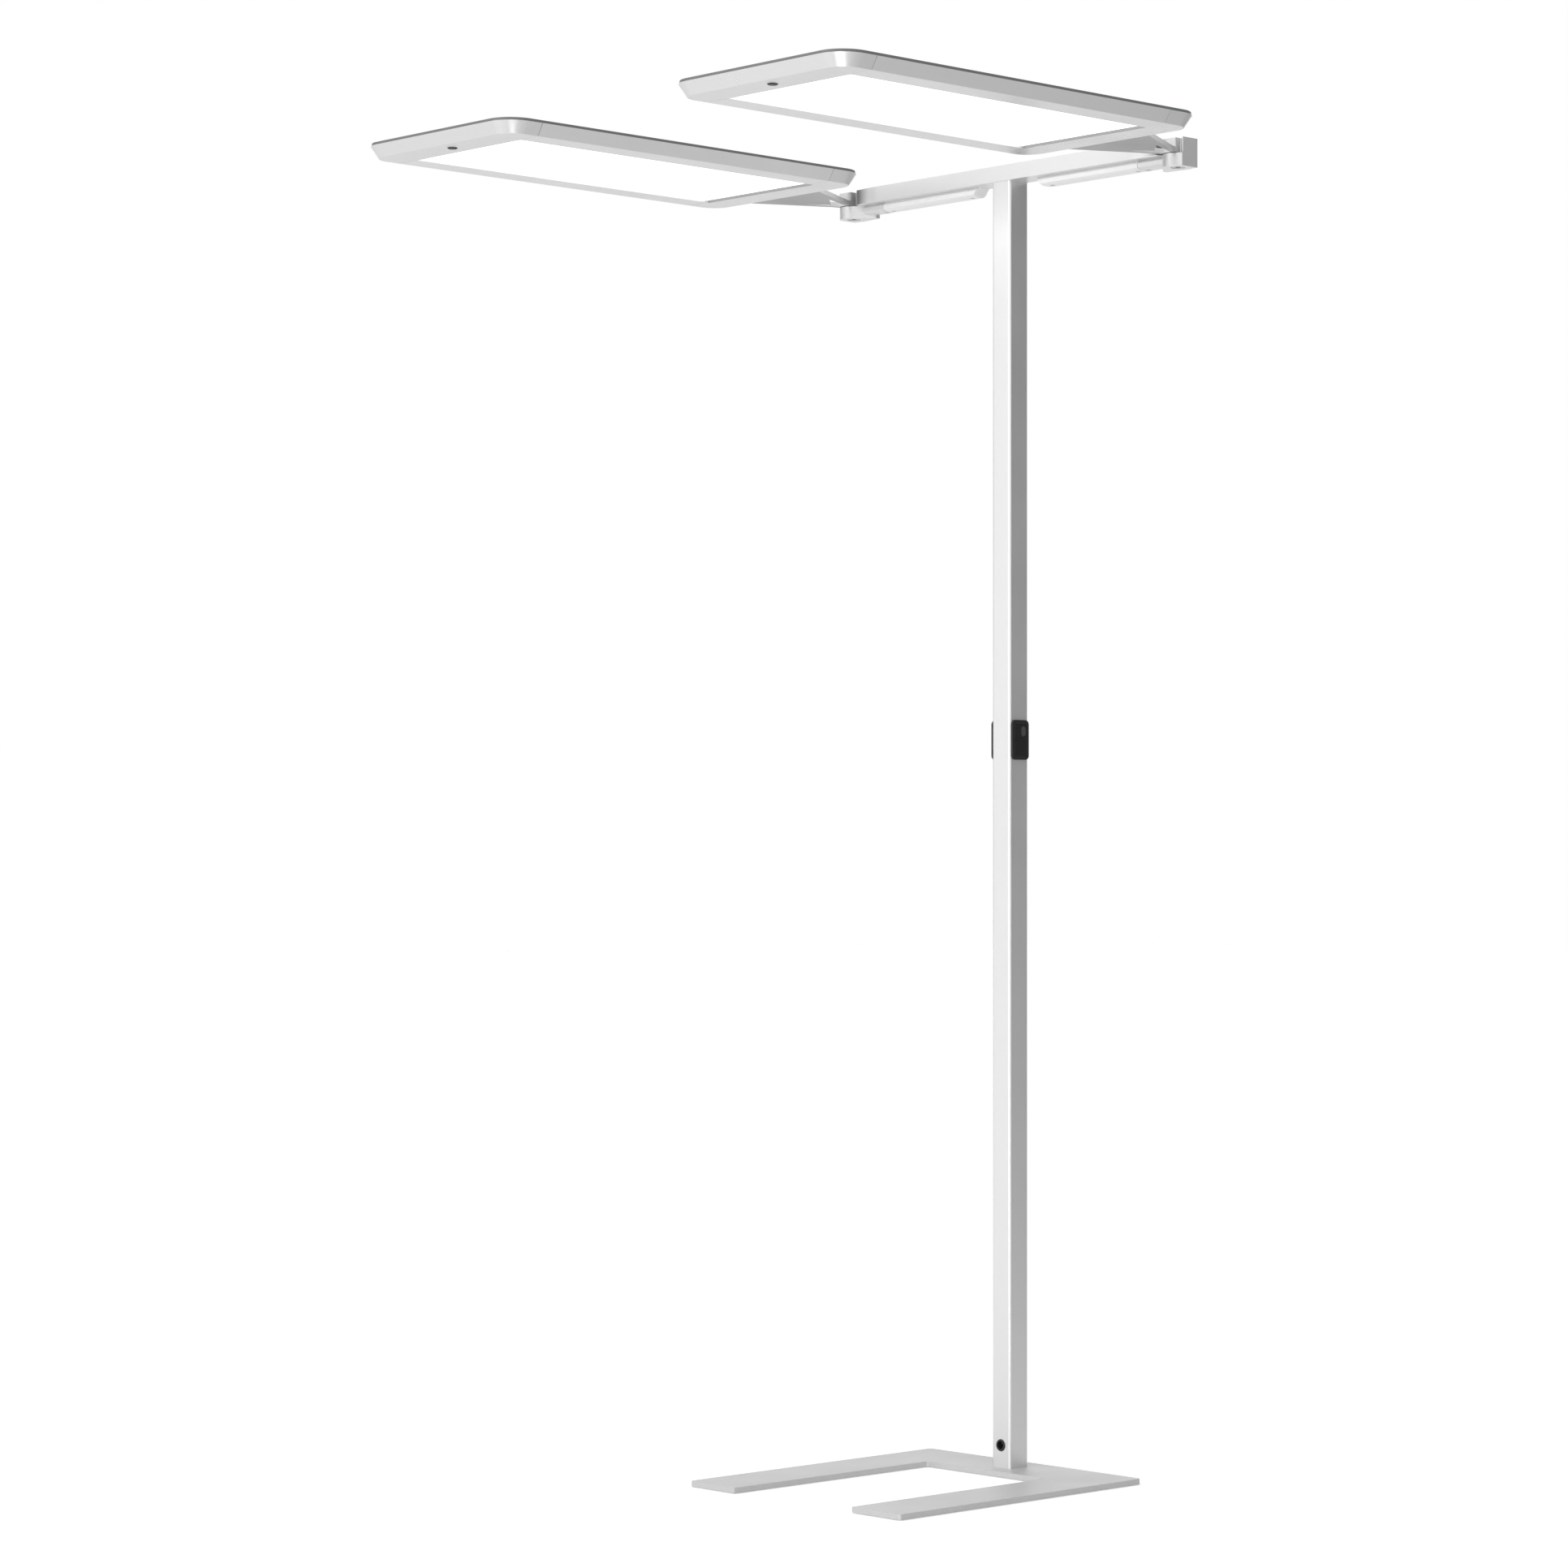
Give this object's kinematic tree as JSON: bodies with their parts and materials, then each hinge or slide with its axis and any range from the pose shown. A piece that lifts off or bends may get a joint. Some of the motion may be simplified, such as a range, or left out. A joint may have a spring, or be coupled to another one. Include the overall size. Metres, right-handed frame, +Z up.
{
  "type": "floor lamp",
  "caption": "Office floor lamp: flat U-shaped foot, square pole, crossbar with driver housings and flat rectangular lighting heads on swivel necks.",
  "frame": {"origin": "on the floor under the axis of the pole", "axes": "+X along the crossbar, +Z up; the heads and the arms of the foot reach forward along -Y"},
  "size_m": [1.032, 0.848, 1.9348],
  "materials": {
    "base_paint": "matt silver-grey powder coat",
    "pad_rubber": "matt",
    "zinc_steel": "zinc plated",
    "zinc_block": "machined",
    "satin_aluminium": "satin anodised, drawn grain",
    "silver_casting": "fine silver powder coat on a casting",
    "silver_cap": "silver, satin",
    "carrier_sheet": "mill finish sheet",
    "black_plastic": "fine grain",
    "black_key": "smooth satin",
    "grey_cover": "dark grey, satin",
    "dark_lens": "smoked, glossy",
    "contact_brass": "plain",
    "cable_rubber": "matt sheath",
    "white_plastic": "plain",
    "white_board": "white solder mask",
    "green_board": "solder mask",
    "clear_acrylic": "clear",
    "opal_acrylic": "opal, lit from behind"
  },
  "bodies": {
    "stand": {"base_plate": "base_paint", "floor_pads": "pad_rubber", "base_screws": "zinc_steel", "foot_block": "zinc_block", "pole": "satin_aluminium", "pole_screws": "zinc_steel", "inlet_socket": "black_plastic", "inlet_pins": "contact_brass", "pole_cable": "cable_rubber", "top_block": "zinc_block", "crossbar": "satin_aluminium", "bar_screws": "zinc_steel", "bar_plugs": "silver_cap", "hinge_housing_left": "silver_casting", "hinge_housing_right": "silver_casting", "pivot_bushes": "contact_brass", "thrust_washers": "white_plastic", "driver_housing_left": "satin_aluminium", "driver_housing_right": "satin_aluminium", "circuit_boards": "green_board", "underside_screws": "zinc_steel", "control_bezel_left": "black_plastic", "control_bezel_right": "black_plastic"},
    "key_up_left_body": {"key_up_left": "black_key"},
    "key_down_left_body": {"key_down_left": "black_key"},
    "key_up_right_body": {"key_up_right": "black_key"},
    "key_down_right_body": {"key_down_right": "black_key"},
    "head_left": {"neck_left": "silver_casting", "pivot_bolt_left": "zinc_steel", "side_rails_left": "satin_aluminium", "front_cap_left": "silver_casting", "rear_cap_left": "silver_casting", "joint_plates_left": "zinc_block", "carrier_plate_left": "carrier_sheet", "led_boards_left": "white_board", "reflector_left": "white_plastic", "light_guide_left": "clear_acrylic", "diffuser_left": "opal_acrylic", "sensor_lens_left": "dark_lens", "top_cover_left": "grey_cover", "uplight_lenses_left": "clear_acrylic", "head_screws_left": "zinc_steel", "neck_screws_left": "zinc_steel"},
    "head_right": {"neck_right": "silver_casting", "pivot_bolt_right": "zinc_steel", "side_rails_right": "satin_aluminium", "front_cap_right": "silver_casting", "rear_cap_right": "silver_casting", "joint_plates_right": "zinc_block", "carrier_plate_right": "carrier_sheet", "led_boards_right": "white_board", "reflector_right": "white_plastic", "light_guide_right": "clear_acrylic", "diffuser_right": "opal_acrylic", "sensor_lens_right": "dark_lens", "top_cover_right": "grey_cover", "uplight_lenses_right": "clear_acrylic", "head_screws_right": "zinc_steel", "neck_screws_right": "zinc_steel"}
  },
  "joints": [
    {"name": "head_swivel_left", "type": "hinge", "parent": "stand", "child": "head_left", "pos_m": [-0.343, -0.001, 1.9116], "axis": [0, 0, 1], "range_deg": [-15, 10]},
    {"name": "head_swivel_right", "type": "hinge", "parent": "stand", "child": "head_right", "pos_m": [0.343, -0.001, 1.9116], "axis": [0, 0, 1], "range_deg": [-10, 15]},
    {"name": "key_up_left_press", "type": "slide", "parent": "stand", "child": "key_up_left_body", "axis": [1, 0, 0], "range_m": [0, 0.0008], "stiffness_N_per_m": 900, "springref_m": -0.0006},
    {"name": "key_down_left_press", "type": "slide", "parent": "stand", "child": "key_down_left_body", "axis": [1, 0, 0], "range_m": [0, 0.0008], "stiffness_N_per_m": 900, "springref_m": -0.0006},
    {"name": "key_up_right_press", "type": "slide", "parent": "stand", "child": "key_up_right_body", "axis": [-1, 0, 0], "range_m": [0, 0.0008], "stiffness_N_per_m": 900, "springref_m": -0.0006},
    {"name": "key_down_right_press", "type": "slide", "parent": "stand", "child": "key_down_right_body", "axis": [-1, 0, 0], "range_m": [0, 0.0008], "stiffness_N_per_m": 900, "springref_m": -0.0006}
  ]
}
